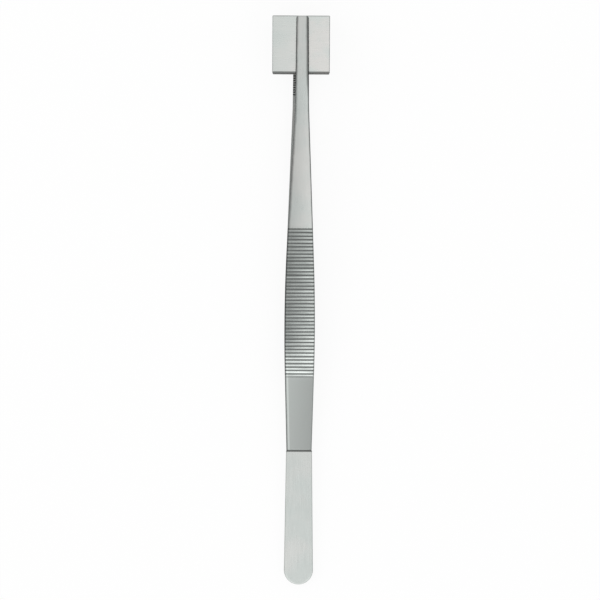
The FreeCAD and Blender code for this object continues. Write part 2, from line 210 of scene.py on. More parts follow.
# %% Half widths of the strip
HEAD_FRONT, HEAD_REAR, HEAD_CORNER = 11.6, 13.0, 0.5
ROOT_WIDTH, GRIP_WIDTH, WIDEST, TAPER = 11.3, 13.6, 55.0, 90.4
NECK_WIDTH, NECK_CURVE, TIP_WIDTH, TIP_CORNER, SET_OVER = 6.1, 120.0, 5.4, 1.2, 0.58
taper_reach = NECK - (TAPER + WIDEST) / 2
lean = (taper_reach - math.sqrt(taper_reach**2 - NECK_CURVE * (GRIP_WIDTH - NECK_WIDTH))) / NECK_CURVE
SWELL_RADIUS = (TAPER - WIDEST) / lean
END_CENTRE = HEAD_REAR / 2 - HEAD
CORNER_STATION = ARM - TIP_CORNER


def lean_past(along, across, reach):
    """Lean of a line past one point that keeps a distance under another."""
    return math.atan2(across, along) - math.asin(reach / math.hypot(along, across))


def half_width(station, side):
    """Distance from the middle line to the strip's edge on one side, where the strip isn't rounded off."""
    s = np.asarray(station, float)
    swell = GRIP_WIDTH / 2 - SWELL_RADIUS
    neck_edge = NECK_WIDTH / 2 + side * SET_OVER
    root_lean = lean_past(WIDEST, swell - ROOT_WIDTH / 2, -SWELL_RADIUS)
    shaft_lean = lean_past(NECK - WIDEST, neck_edge + NECK_CURVE - swell, SWELL_RADIUS + NECK_CURVE)
    swell_from, swell_to = (WIDEST - SWELL_RADIUS * math.sin(a) for a in (root_lean, shaft_lean))
    curve_from = NECK + NECK_CURVE * math.sin(shaft_lean)
    swell_end = swell + SWELL_RADIUS * math.cos(shaft_lean)
    head_front = HEAD_FRONT / 2
    head_edges = (HEAD_REAR / 2, head_front, head_front - HEAD_CORNER)
    head = np.interp(s, (END_CENTRE, -HEAD_CORNER, 0), head_edges)
    spring = ROOT_WIDTH / 2 + s * math.tan(root_lean)
    grip = over(s, WIDEST, swell, SWELL_RADIUS)
    shaft = swell_end + (s - swell_to) * math.tan(shaft_lean)
    curve = under(s, NECK, neck_edge + NECK_CURVE, NECK_CURVE)
    jaw = np.interp(s, (NECK, CORNER_STATION), (neck_edge, TIP_WIDTH / 2 + side * SET_OVER))
    back = np.where(s <= 0, head, np.where(s < swell_from, spring, grip))
    return np.where(s < swell_to, back, np.where(s < curve_from, shaft, np.where(s < NECK, curve, jaw)))


for station in (-30, 10, WIDEST, TAPER, NECK, CORNER_STATION):
    widths = [float(half_width(station, side)) for side in (-1, 1)]
    print(f"station {station:.1f}: {widths[0]:.2f} and {widths[1]:.2f} mm to the edges")

# %% [markdown]
# ## One length of strip
#
# The strip could be a box with modifiers, but its edge is rounded all the way round the outline, end
# and tip too. So it is laid out as rows along its length, and each row is a ring of points that knows
# how far it lies inside the outline. Where the outline turns a corner, the rows fan round it.

# %% Where the rows go
HEAD_EDGE, ARM_EDGE, INNER_EDGE = 0.4, 0.6, 0.15
FIRST_GROOVE = GRIP_START + END_LAND
FIRST_TOOTH = ARM - PLATE_SIDE - TOOTH_PITCH / 2
GROOVE_MOUTH, GROOVE_FLOOR, GROOVE_DEPTH = 0.72, 0.30, 0.40
TOOTH_MOUTH, TOOTH_FLOOR, TOOTH_DEPTH = 0.95, 0.10, 0.35
ROOT_OFFSET = 0.06  # keeps the arm's first row clear of the head's last one
LEAST_STEP = 0.012  # rows closer together than this are one row


def cut_rows(first, pitch, count, mouth, floor):
    """Rows across each cut of a run, closer together on its walls."""
    walls = np.linspace(floor / 2, mouth / 2, 6)
    half = np.concatenate(([0], walls, [mouth / 2 + 0.05]))
    around = np.concatenate((-half[::-1], half[1:]))
    around = np.append(around[abs(around) < pitch / 2], pitch / 2)
    return np.concatenate([first + k * pitch + around for k in range(count)])


groove_rows = cut_rows(FIRST_GROOVE, GROOVE_PITCH, GROOVES, GROOVE_MOUTH, GROOVE_FLOOR)
tooth_rows = cut_rows(FIRST_TOOTH - (TEETH - 1) * TOOTH_PITCH, TOOTH_PITCH, TEETH, TOOTH_MOUTH, TOOTH_FLOOR)
# Rows lie closer together where a face turns or a cutter runs.
stations = np.unique(np.concatenate([
    np.linspace(END_CENTRE, -1.2, 16), [-SHOULDER, -HEAD_CORNER, -0.25, 0, ROOT_OFFSET],
    np.linspace(1, SPRING_END, 24), np.linspace(SPRING_END, GRIP_START, 13), groove_rows,
    np.linspace(GRIP_END, BEND_START, 20), np.linspace(BEND_START, BEND_END, 6),
    tooth_rows, np.linspace(ARM - PLATE_SIDE, CORNER_STATION, 10)]).round(4))
stations = stations[np.append(True, np.diff(stations) > LEAST_STEP)]
print(len(stations), "rows between the round end and the tip's corners")

# %% A ring of points round the strip
EDGE_STEPS, FLAT_STEPS = 6, 8
EDGE_TURNS = [math.pi / 2 * step / EDGE_STEPS for step in range(1, EDGE_STEPS + 1)]


def ring():
    """Each point of a ring: side, share across the flat part, how far round the edge, and which face."""
    flat = np.linspace(-1, 1, FLAT_STEPS + 1)
    outer = [(0, share, 0, 1) for share in flat]
    right = [(1, 0, turn, 1) for turn in EDGE_TURNS] + [(1, 0, 1, 0)]
    inner = [(0, share, 0, 0) for share in flat[::-1]]
    left = [(-1, 0, 1, 0)] + [(-1, 0, turn, 1) for turn in EDGE_TURNS[::-1]]
    return outer + right + inner + left


def edge_drop(inset, radius):
    """How far a rounded edge has fallen at a distance inside the outline."""
    return radius - math.sqrt(max(radius**2 - max(radius - inset, 0) ** 2, 0))


def ring_point(spot, radius, spread, limit=math.inf):
    """A point of a ring. The spread places it from its side, share and distance inside the outline."""
    side, share, turned, on_outer = spot
    if on_outer:
        inset = min(radius * (1 - math.sin(turned)) if side else radius, limit)
    else:
        inset = min(0 if side else INNER_EDGE, limit)
    across, station = spread(side, share, inset)
    if on_outer:
        height = float(outer_face(station)) - edge_drop(inset, radius)
    else:
        height = float(inner_face(station)) + INNER_EDGE - inset
    return across, station, height


print(len(ring()), "points in each ring")

# %% The rows in order
END_TURNS = np.radians(np.linspace(90, 0, 19)[:-1])
CORNER_TURNS = np.radians(np.linspace(0, 90, 8)[1:])
TIP_FLAT = TIP_WIDTH / 2 - TIP_CORNER


def straight_row(station):
    """Places a ring straight across the strip."""
    def spread(side, share, inset):
        left, right = (float(half_width(station, way)) - inset for way in (-1, 1))
        if side:
            return (right if side > 0 else -left), station
        return (right - left) / 2 + share * (right + left) / 2, station

    return spread


def round_end_row(angle):
    """Places a ring's points on a line through the centre of the head's round end."""
    def spread(side, share, inset):
        reach = HEAD_REAR / 2 - inset
        return (side or share) * reach * math.cos(angle), END_CENTRE - reach * math.sin(angle)

    return spread


def tip_corner_row(angle):
    """Places a ring's sides on lines through the centres of the tip's two corners."""
    def spread(side, share, inset):
        reach = TIP_CORNER - inset
        across = TIP_FLAT + reach * math.cos(angle)
        return SET_OVER + (side or share) * across, CORNER_STATION + reach * math.sin(angle)

    return spread


def strip_rows():
    """Every row of the strip from its round end to its tip, as lists of points."""
    spots = ring()
    rows = [[ring_point(spot, HEAD_EDGE, round_end_row(a)) for spot in spots] for a in END_TURNS]
    for station in stations:
        radius = HEAD_EDGE if station <= 0 else ARM_EDGE
        rows.append([ring_point(spot, radius, straight_row(station)) for spot in spots])
    rows += [[ring_point(spot, ARM_EDGE, tip_corner_row(a)) for spot in spots] for a in CORNER_TURNS]
    for turned in EDGE_TURNS:
        limit = ARM_EDGE * (1 - math.sin(turned))
        rows.append([ring_point(spot, ARM_EDGE, tip_corner_row(math.pi / 2), limit) for spot in spots])
    return np.array(rows)


strip_points = strip_rows()
strip_length = float(np.ptp(strip_points[..., 1]))
print("rows and points:", strip_points.shape[:2], "length", round(strip_length, 2), "mm")

# %% [markdown]
# The rows become a skin of four-sided faces. Points that meet at the round end and the tip are merged,
# and the gap that is left at the tip is closed, so that the strip is one watertight piece. Each
# point keeps its station and its distance from both faces, because the cutters and the finishes need
# to know where on the strip they are.

# %% Skin the strip
SAME_POINT = 1e-4  # in millimetres
CREASE = math.radians(30)


def skin(name, rows):
    """A closed mesh over rows of rings, in millimetres."""
    count, around = rows.shape[:2]
    index = np.arange(count * around).reshape(count, around)
    beside = np.roll(index, -1, axis=1)
    faces = np.stack((index[:-1], beside[:-1], beside[1:], index[1:]), axis=-1).reshape(-1, 4)
    mesh = bpy.data.meshes.new(name)
    mesh.from_pydata(rows.reshape(-1, 3).tolist(), [], faces.tolist())
    bm = bmesh.new()
    bm.from_mesh(mesh)
    bmesh.ops.remove_doubles(bm, verts=bm.verts, dist=SAME_POINT)
    bmesh.ops.holes_fill(bm, edges=[e for e in bm.edges if e.is_boundary], sides=0)
    bmesh.ops.recalc_face_normals(bm, faces=bm.faces)
    print(name, len(bm.faces), "faces,", sum(not e.is_manifold for e in bm.edges), "open edges")
    bm.to_mesh(mesh)
    bm.free()
    return mesh


def points_of(mesh):
    """A mesh's points, one row each."""
    flat = np.empty(len(mesh.vertices) * 3)
    mesh.vertices.foreach_get("co", flat)
    return flat.reshape(-1, 3)


def store(mesh, name, values):
    """Keeps one number for each point, for the cutters and the finishes to read."""
    attribute = mesh.attributes.new(name, "FLOAT", "POINT")
    attribute.data.foreach_set("value", np.asarray(values, np.float32))


def inside_outline(points):
    """Distance of each point inside the strip's outline, seen from above."""
    x, s = points[:, 0], points[:, 1]
    edge = np.minimum(half_width(s, 1) - x, half_width(s, -1) + x)
    at_end = HEAD_REAR / 2 - np.hypot(x, s - END_CENTRE)
    return np.where(s < END_CENTRE, at_end, edge).clip(0)


strip_mesh = skin("strip_blank", strip_points)
blank_points = points_of(strip_mesh)
store(strip_mesh, "station", blank_points[:, 1])
store(strip_mesh, "below_outer", outer_face(blank_points[:, 1]) - blank_points[:, 2])
store(strip_mesh, "above_inner", blank_points[:, 2] - inner_face(blank_points[:, 1]))
store(strip_mesh, "from_edge", inside_outline(blank_points))

# %% [markdown]
# ## The cutters
#
# The grip's 42 grooves and the jaw's nine teeth are the same job: one cutter stepped along the strip.
# That is a rule that repeats, so a Geometry Nodes tree does it. Each point finds the nearest cut, reads
# how deep the cutter goes at that distance from its middle, and is pressed down to that depth if it
# isn't deeper already. A hand-fed cutter doesn't step quite evenly, which a seeded random shift gives.

# %% Build the cutter tree
CUTTER_INPUTS = [
    ("First Station", "NodeSocketFloat"), ("Pitch", "NodeSocketFloat"), ("Count", "NodeSocketInt"),
    ("Mouth Width", "NodeSocketFloat"), ("Floor Width", "NodeSocketFloat"), ("Depth", "NodeSocketFloat"),
    ("Unevenness", "NodeSocketFloat"), ("Seed", "NodeSocketInt"), ("Depth Below", "NodeSocketString"),
    ("Into The Steel", "NodeSocketVector"), ("Mark", "NodeSocketString"), ("Steel", "NodeSocketMaterial")]


class Tree:
    """Short ways to add and join nodes in any node tree."""

    def __init__(self, tree):
        self.tree = tree

    def node(self, kind, **settings):
        made = self.tree.nodes.new(kind)
        for setting, value in settings.items():
            setattr(made, setting, value)
        return made

    def feed(self, socket, value):
        if isinstance(value, bpy.types.NodeSocket):
            self.tree.links.new(value, socket)
        else:
            socket.default_value = value

    def math(self, operation, *values, clamp=False):
        made = self.node("ShaderNodeMath", operation=operation, use_clamp=clamp)
        for socket, value in zip(made.inputs, values):
            self.feed(socket, value)
        return made.outputs[0]

    def remap(self, value, start, end, low=0.0, high=1.0, smooth=True):
        made = self.node("ShaderNodeMapRange", interpolation_type="SMOOTHSTEP" if smooth else "LINEAR")
        names = ("Value", "From Min", "From Max", "To Min", "To Max")
        for name, number in zip(names, (value, start, end, low, high)):
            self.feed(made.inputs[name], number)
        return made.outputs["Result"]


def cutter_tree():
    """A node tree that presses a run of equal cuts into the strip and marks where they are."""
    group = bpy.data.node_groups.new("stepped cutter", "GeometryNodeTree")
    group.interface.new_socket("Geometry", in_out="INPUT", socket_type="NodeSocketGeometry")
    for name, kind in CUTTER_INPUTS:
        group.interface.new_socket(name, in_out="INPUT", socket_type=kind)
    group.interface.new_socket("Geometry", in_out="OUTPUT", socket_type="NodeSocketGeometry")
    t = Tree(group)
    given = t.node("NodeGroupInput").outputs
    station = t.node("GeometryNodeInputNamedAttribute", data_type="FLOAT")
    station.inputs["Name"].default_value = "station"
    along = station.outputs["Attribute"]

    steps = t.math("DIVIDE", t.math("SUBTRACT", along, given["First Station"]), given["Pitch"])
    last = t.math("SUBTRACT", given["Count"], 1)
    which = t.math("MINIMUM", t.math("MAXIMUM", t.math("ROUND", steps), 0), last)
    chance = t.node("FunctionNodeRandomValue", data_type="FLOAT")
    low, high, picked = (
        next(s for s in sockets if s.name == name and s.enabled)
        for sockets, name in ((chance.inputs, "Min"), (chance.inputs, "Max"), (chance.outputs, "Value")))
    low.default_value, high.default_value = -1, 1
    t.feed(chance.inputs["ID"], which)
    t.feed(chance.inputs["Seed"], given["Seed"])

    middle = t.math("ADD", given["First Station"], t.math("MULTIPLY", which, given["Pitch"]))
    middle = t.math("ADD", middle, t.math("MULTIPLY", picked, given["Unevenness"]))
    away = t.math("ABSOLUTE", t.math("SUBTRACT", along, middle))
    floor_half, mouth_half = (t.math("MULTIPLY", given[name], 0.5) for name in ("Floor Width", "Mouth Width"))
    depth = t.math("MULTIPLY", given["Depth"], t.remap(away, floor_half, mouth_half, 1, 0))
    below = t.node("GeometryNodeInputNamedAttribute", data_type="FLOAT")
    t.feed(below.inputs["Name"], given["Depth Below"])
    cut = t.math("MAXIMUM", t.math("SUBTRACT", depth, below.outputs["Attribute"]), 0)

    press = t.node("ShaderNodeVectorMath", operation="SCALE")
    t.feed(press.inputs["Vector"], given["Into The Steel"])
    t.feed(press.inputs["Scale"], cut)
    mark = t.node("GeometryNodeStoreNamedAttribute", data_type="FLOAT", domain="POINT")
    t.feed(mark.inputs["Geometry"], given["Geometry"])
    t.feed(mark.inputs["Name"], given["Mark"])
    twice_deep = t.math("MULTIPLY", given["Depth"], 2)
    near_face = t.remap(below.outputs["Attribute"], given["Depth"], twice_deep, 1, 0)
    share = t.math("DIVIDE", depth, given["Depth"])
    t.feed(mark.inputs["Value"], t.math("MULTIPLY", share, near_face))
    shift = t.node("GeometryNodeSetPosition")
    t.feed(shift.inputs["Geometry"], mark.outputs["Geometry"])
    t.feed(shift.inputs["Offset"], press.outputs["Vector"])
    solid = t.node("GeometryNodeRealizeInstances")
    t.feed(solid.inputs["Geometry"], shift.outputs["Geometry"])
    coat = t.node("GeometryNodeSetMaterial")
    t.feed(coat.inputs["Geometry"], solid.outputs["Geometry"])
    t.feed(coat.inputs["Material"], given["Steel"])
    t.feed(t.node("NodeGroupOutput").inputs["Geometry"], coat.outputs["Geometry"])
    return group


cutter = cutter_tree()
print("the cutter has", len(cutter.nodes), "nodes and", len(CUTTER_INPUTS), "named inputs")

# %% [markdown]
# ## Finishes of the steel
#
# All of it is one stainless steel, and what differs is how it was ground. The head is nearly bright.
# The spring was ground thin and left dull and a little darker. The shaft is satin, with grain along its
# length, and the grooves and teeth are painted darker as painted shade in their hollows. Grain and the
# painted shade along the edges are used by more than one finish, so each is a shader group of its own with
# named inputs.

# %% The grain group
LINE_ROUGHNESS, PATCH_ROUGHNESS, SPECK_RELIEF = 0.12, 0.15, 0.25


def new_group(name, inputs, outputs):
    """A shader group with named sockets, and short ways to its inputs and outputs."""
    group = bpy.data.node_groups.new(name, "ShaderNodeTree")
    for label, kind, value in inputs:
        socket = group.interface.new_socket(label, in_out="INPUT", socket_type=kind)
        if value is not None:
            socket.default_value = value
    for label, kind in outputs:
        group.interface.new_socket(label, in_out="OUTPUT", socket_type=kind)
    tree = Tree(group)
    return group, tree, tree.node("NodeGroupInput").outputs, tree.node("NodeGroupOutput").inputs


def grain_group():
    """Fine scratches drawn out one way, over slow clouds of tone."""
    group, t, given, out = new_group(
        "ground grain",
        [("Vector", "NodeSocketVector", None), ("Scratches", "NodeSocketVector", (2600.0, 30.0, 2600.0)),
         ("Clouds", "NodeSocketFloat", 60.0), ("Scratch Tone", "NodeSocketFloat", 0.05),
         ("Cloud Tone", "NodeSocketFloat", 0.04), ("Specks", "NodeSocketFloat", 900.0)],
        [("Tone", "NodeSocketFloat"), ("Roughness", "NodeSocketFloat"), ("Height", "NodeSocketFloat"),
         ("Cloud", "NodeSocketFloat")])
    drawn = t.node("ShaderNodeVectorMath", operation="MULTIPLY")
    t.feed(drawn.inputs[0], given["Vector"])
    t.feed(drawn.inputs[1], given["Scratches"])
    scratch = t.node("ShaderNodeTexNoise", noise_dimensions="3D")
    t.feed(scratch.inputs["Vector"], drawn.outputs[0])
    t.feed(scratch.inputs["Scale"], 1.0)
    t.feed(scratch.inputs["Detail"], 3.0)
    cloud = t.node("ShaderNodeTexNoise")
    t.feed(cloud.inputs["Vector"], given["Vector"])
    t.feed(cloud.inputs["Scale"], given["Clouds"])
    t.feed(cloud.inputs["Detail"], 4.0)
    speck = t.node("ShaderNodeTexNoise")
    t.feed(speck.inputs["Vector"], given["Vector"])
    t.feed(speck.inputs["Scale"], given["Specks"])
    t.feed(speck.inputs["Detail"], 2.0)
    lines = t.math("SUBTRACT", scratch.outputs["Fac"], 0.5)
    patches = t.math("SUBTRACT", cloud.outputs["Fac"], 0.5)
    spots = t.math("SUBTRACT", speck.outputs["Fac"], 0.5)
    scratched = t.math("MULTIPLY", lines, given["Scratch Tone"])
    clouded = t.math("MULTIPLY", patches, given["Cloud Tone"])
    tone = t.math("ADD", scratched, clouded)
    t.feed(out["Tone"], t.math("ADD", 1.0, t.math("MULTIPLY", tone, 2.0)))
    rough_lines = t.math("MULTIPLY", lines, LINE_ROUGHNESS)
    rough_patches = t.math("MULTIPLY", patches, PATCH_ROUGHNESS)
    t.feed(out["Roughness"], t.math("ADD", rough_lines, rough_patches))
    t.feed(out["Height"], t.math("ADD", lines, t.math("MULTIPLY", spots, SPECK_RELIEF)))
    t.feed(out["Cloud"], t.remap(cloud.outputs["Fac"], 0.35, 0.65))
    return group


grain = grain_group()
print("grain takes", [i.name for i in grain.interface.items_tree if i.in_out == "INPUT"])

# %% The painted edge shade group
def edge_shade_group():
    """A painted line of shade along an edge, its width made uneven by noise."""
    group, t, given, out = new_group(
        "worn edge",
        [("Vector", "NodeSocketVector", None), ("From Edge", "NodeSocketFloat", 1.0),
         ("Width", "NodeSocketFloat", 0.4), ("Patchiness", "NodeSocketFloat", 0.5),
         ("Patch Scale", "NodeSocketFloat", 350.0)],
        [("Mask", "NodeSocketFloat")])
    patch = t.node("ShaderNodeTexNoise")
    t.feed(patch.inputs["Vector"], given["Vector"])
    t.feed(patch.inputs["Scale"], given["Patch Scale"])
    t.feed(patch.inputs["Detail"], 3.0)
    swing = t.math("MULTIPLY", t.math("SUBTRACT", patch.outputs["Fac"], 0.5), given["Patchiness"])
    reach = t.math("MULTIPLY", given["Width"], t.math("ADD", 1.0, swing))
    t.feed(out["Mask"], t.remap(given["From Edge"], 0.0, reach, 1, 0))
    return group


edge_shade = edge_shade_group()
print("wear takes", [i.name for i in edge_shade.interface.items_tree if i.in_out == "INPUT"])

# %% A steel to start from
COOL_TINT, WARM_TINT = (0.94, 1.0, 0.97, 1), (1.005, 1.0, 0.97, 1)


class Finish(Tree):
    """A bare metal."""

    def __init__(self, name):
        self.material = bpy.data.materials.new(name)
        self.material.use_nodes = True
        super().__init__(self.material.node_tree)
        self.shader = self.tree.nodes["Principled BSDF"]
        self.shader.inputs["Metallic"].default_value = 1.0
        self.place = self.node("ShaderNodeTexCoord").outputs["Object"]

    def group(self, made, **inputs):
        placed = self.node("ShaderNodeGroup", node_tree=made)
        self.feed(placed.inputs["Vector"], self.place)
        for label, value in inputs.items():
            self.feed(placed.inputs[label.replace("_", " ")], value)
        return placed.outputs

    def read(self, name):
        return self.node("ShaderNodeAttribute", attribute_name=name).outputs["Fac"]

    def mix(self, factor, one, other):
        made = self.node("ShaderNodeMix", data_type="FLOAT")
        self.feed(made.inputs[0], factor)
        self.feed(made.inputs[2], one)
        self.feed(made.inputs[3], other)
        return made.outputs[0]

    def across(self):
        """Distance to the right of the middle line, in millimetres."""
        split = self.node("ShaderNodeSeparateXYZ")
        self.feed(split.inputs[0], self.place)
        return self.math("MULTIPLY", split.outputs["X"], 1000.0)

    def finish(self, tone, warmth, roughness, grained, relief):
        """Joins a tone, how warm its clouds get, a roughness and the grain's relief in metres."""
        tint = self.node("ShaderNodeMix", data_type="RGBA")
        self.feed(tint.inputs[0], self.math("MULTIPLY", grained["Cloud"], warmth))
        tint.inputs[6].default_value, tint.inputs[7].default_value = COOL_TINT, WARM_TINT
        shade = self.node("ShaderNodeVectorMath", operation="SCALE")
        self.feed(shade.inputs[0], tint.outputs[2])
        self.feed(shade.inputs["Scale"], tone)
        self.feed(self.shader.inputs["Base Color"], shade.outputs[0])
        self.feed(self.shader.inputs["Roughness"], roughness)
        bump = self.node("ShaderNodeBump")
        bump.inputs["Distance"].default_value = relief
        self.feed(bump.inputs["Height"], grained["Height"])
        self.feed(self.shader.inputs["Normal"], bump.outputs["Normal"])
        return self.material


# %% [markdown]
# The strip's finish changes along its length, and it changes with the station that each point keeps.
# Values that differ by region are listed from the rear: head, spring, grip, shaft and jaw. A slant is
# what a value gains with each millimetre to the right; on the tone and the edges it paints light and
# shade that change from one side of the strip to the other.

# %% The strip's steel
# The tone of the grooves and teeth is painted shade: their hollows are coloured darker.
HEAD_TONE, SPRING_TONE, SHAFT_TONE, GROOVE_SHADE_TONE = 0.58, 0.345, 0.525, 0.195
# Painted highlight: the grip's rear ribs are coloured lighter, fading to the grip's own tone further forward.
GRIP_REAR_HIGHLIGHT_TONE, GRIP_TONE, GRIP_BRIGHT_TO, RIB_WEAR = 0.56, 0.395, 52.0, 0.40
# Painted light and shade: the tone grows lighter or darker from one side of the strip to the other.
LIGHT_SLANTS = 0.0, -0.018, 0.06, 0.035, 0.01
# Painted shade along the rounded edges: its width and darkness by region, and how they change from side to
# side.
EDGE_WIDTHS, EDGE_WIDTH_SLANTS = (0.6, 0.75, 0.9, 1.1, 1.35), (0.0, 0.0, 0.0, -0.08, 0.12)
EDGE_SHADES, EDGE_SHADE_SLANTS = (0.20, 0.40, 0.64, 0.80, 0.96), (0.0, -0.055, -0.03, 0.015, 0.0)
# Painted highlight: a thin bright line just inside the strip's left edge, strongest on the spring.
PAINTED_GLINTS, GLINT_INSET = (0.0, 0.35, 0.1, 0.0, 0.0), 1.15
# Painted shade: the darker tone of the inner faces between the strips, and the dark line along the step.
INNER_SHADE_TONE, STEP_SHADE = 0.34, 0.65
WARMTHS, ROUGHNESSES = (0.6, 0.15, 0.1, 0.8, 0.8), (0.26, 0.45, 0.20, 0.30, 0.30)
STRIP_RELIEF = 0.000004  # in metres


def strip_steel():
    """Bright head, dull spring, ribbed grip and satin shaft, each with its own painted shade along the edges.
    """
    f = Finish("ground_strip")
    station, from_edge, above_inner = map(f.read, ("station", "from_edge", "above_inner"))
    groove, tooth = map(f.read, ("groove", "tooth"))
    at_spring, at_grip = f.remap(station, -0.5, 0.0), f.remap(station, SPRING_END, GRIP_START)
    at_shaft, at_jaw = f.remap(station, GRIP_END - 2, GRIP_END + 1), f.remap(station, NECK, ARM - PLATE_SIDE)
    up_the_grip = f.remap(station, GRIP_START, GRIP_BRIGHT_TO)

    def by_region(head, spring, grip, shaft, jaw):
        value = f.mix(at_spring, head, spring)
        value = f.mix(at_grip, value, grip)
        return f.mix(at_jaw, f.mix(at_shaft, value, shaft), jaw)

    def times(value, share):
        return f.math("MULTIPLY", value, share)

    def less(share):
        return f.math("SUBTRACT", 1.0, share)

    grained = f.group(grain)
    rubbed = f.group(grain, Scratches=(120.0, 1100.0, 120.0), Scratch_Tone=RIB_WEAR, Cloud_Tone=0.15)
    # The rear of the grip gets a painted highlight that fades out going forward.
    grip_tone = times(f.mix(up_the_grip, GRIP_REAR_HIGHLIGHT_TONE, GRIP_TONE), rubbed["Tone"])
    tone = by_region(HEAD_TONE, SPRING_TONE, grip_tone, SHAFT_TONE, SHAFT_TONE)
    # The slant paints light and shade across the strip, one side lighter than the other.
    head, spring, grip, shaft, jaw = LIGHT_SLANTS
    light_slant = by_region(head, spring, times(up_the_grip, grip), shaft, jaw)
    tone = times(tone, f.math("ADD", 1.0, times(f.across(), light_slant)))
    # The grooves and teeth are painted darker here, as painted shade in their hollows.
    tone = f.mix(f.math("MAXIMUM", groove, tooth), tone, GROOVE_SHADE_TONE)
    tone = times(tone, grained["Tone"])

    def slanted(values, slants):
        return f.math("ADD", by_region(*values), times(f.across(), by_region(*slants)))

    width = slanted(EDGE_WIDTHS, EDGE_WIDTH_SLANTS)
    # The edges are painted darker here, as painted shade along the strip's outline.
    edge_shade_mask = f.group(edge_shade, From_Edge=from_edge, Width=width)["Mask"]
    tone = times(tone, less(times(edge_shade_mask, slanted(EDGE_SHADES, EDGE_SHADE_SLANTS))))
    # A painted highlight along the left edge, a little way inside the outline.
    beside_edge = f.remap(f.math("ABSOLUTE", f.math("SUBTRACT", from_edge, GLINT_INSET)), 0.1, 0.5)
    on_left = f.remap(f.across(), -3.0, -2.0, by_region(*PAINTED_GLINTS), 0)
    tone = times(tone, f.math("ADD", 1.0, times(less(beside_edge), on_left)))

    # A painted shade line across the step at the head's front edge.
    step_shade_mask = f.remap(f.math("ABSOLUTE", f.math("ADD", station, SHOULDER / 2)), 0.25, 0.6, STEP_SHADE, 0)
    tone = times(tone, less(step_shade_mask))
    # The inner faces, between the two strips, are painted darker as painted shade, and their teeth darker
    # still.
    inner_shade = f.mix(tooth, INNER_SHADE_TONE, GROOVE_SHADE_TONE / 2)
    tone = f.mix(f.remap(above_inner, 0.05, 0.3, 1, 0), tone, inner_shade)
    rough = f.math("ADD", by_region(*ROUGHNESSES), grained["Roughness"])
    return f.finish(tone, by_region(*WARMTHS), rough, grained, STRIP_RELIEF)


strip_material = strip_steel()
print(strip_material.name, "has", len(strip_material.node_tree.nodes), "nodes")

# %% The plates' steel
# Painted light: the plate's tone grows lighter toward its right side.
PLATE_TONE, PLATE_ROUGHNESS, PLATE_LIGHT_SLANT = 0.63, 0.28, 0.0035
# The plate's border is painted shade, darker all round its edge.
BORDER_WIDTH, BORDER_SHADE, REAR_DARK = 0.5, 0.6, 0.78
PLATE_RELIEF = 0.0000015  # in metres


def plate_steel():
    """Smooth sheet with a filed border painted darker as shade, its rear edge in the shade of the gap."""
    f = Finish("ground_sheet")
    grained = f.group(grain, Scratches=(40.0, 2400.0, 2400.0), Scratch_Tone=0.008, Cloud_Tone=0.05)
    # The border is painted darker all round, as painted shade along the plate's edge.
    border = f.group(edge_shade, From_Edge=f.read("from_edge"), Width=BORDER_WIDTH)["Mask"]
    rear = f.remap(f.read("from_rear"), 0.5, 1.1, REAR_DARK, 0)
    dark = f.math("MAXIMUM", f.math("MULTIPLY", border, BORDER_SHADE), rear)
    tone = f.math("MULTIPLY", PLATE_TONE, grained["Tone"])
    # Painted light: the plate gets lighter toward its right side.
    tone = f.math("MULTIPLY", tone, f.math("ADD", 1.0, f.math("MULTIPLY", f.across(), PLATE_LIGHT_SLANT)))
    tone = f.math("MULTIPLY", tone, f.math("SUBTRACT", 1.0, dark))
    warmth = f.remap(f.across(), -10.0, 10.0, 0.6, 1.6)
    rough = f.math("ADD", PLATE_ROUGHNESS, grained["Roughness"])
    return f.finish(tone, warmth, rough, grained, PLATE_RELIEF)


plate_material = plate_steel()
print(plate_material.name, "has", len(plate_material.node_tree.nodes), "nodes")

# %% [markdown]
# ## Cut, open and place the strips
#
# One blank makes both strips. The cutters run on it while it is straight and shut, then the result is
# baked to a plain mesh and laid in its place: turned open about the line where the strips part, and
# leaned with the whole tool onto the table. The lower strip is the same piece turned over.

# %% How the tool lies
joints = {joint["name"]: joint for joint in frame["joints"]}
HINGE = np.array(joints["upper_squeeze"]["pos_m"]) * 1000
OPEN = math.asin((REST_GAP - CLOSED_GAP) / 2 / ARM)
open_along = BOW_STATION * math.cos(OPEN) - BOW_HEIGHT * math.sin(OPEN) + HEAD
open_up = BOW_STATION * math.sin(OPEN) + BOW_HEIGHT * math.cos(OPEN) - LEAF
LIE = math.atan2(open_up, open_along) + math.asin(BOW_RADIUS / math.hypot(open_along, open_up))
print(f"each arm opens {math.degrees(OPEN):.3f} deg, and the tool leans {math.degrees(LIE):.3f} deg")


def lay(points, side):
    """Shut points, in millimetres, laid in the frame, in metres. Side is 1 for the upper arm."""
    x, station, height = points[:, 0] * side, points[:, 1], points[:, 2] * side
    turned = LIE + side * OPEN * (station > 0)
    y = station * np.cos(turned) - height * np.sin(turned)
    z = station * np.sin(turned) + height * np.cos(turned)
    return (np.stack((x, y, z), axis=1) + HINGE) / 1000


def put_points(mesh, points):
    """Moves a mesh's points to new places."""
    mesh.vertices.foreach_set("co", np.asarray(points, np.float32).reshape(-1))
    mesh.update()


def soften(mesh):
    """Smooth faces that meet in a crisp line where the turn is sharp."""
    bm = bmesh.new()
    bm.from_mesh(mesh)
    for face in bm.faces:
        face.smooth = True
    for edge in bm.edges:
        edge.smooth = edge.calc_face_angle(0) < CREASE
    bmesh.ops.recalc_face_normals(bm, faces=bm.faces)
    bm.to_mesh(mesh)
    bm.free()


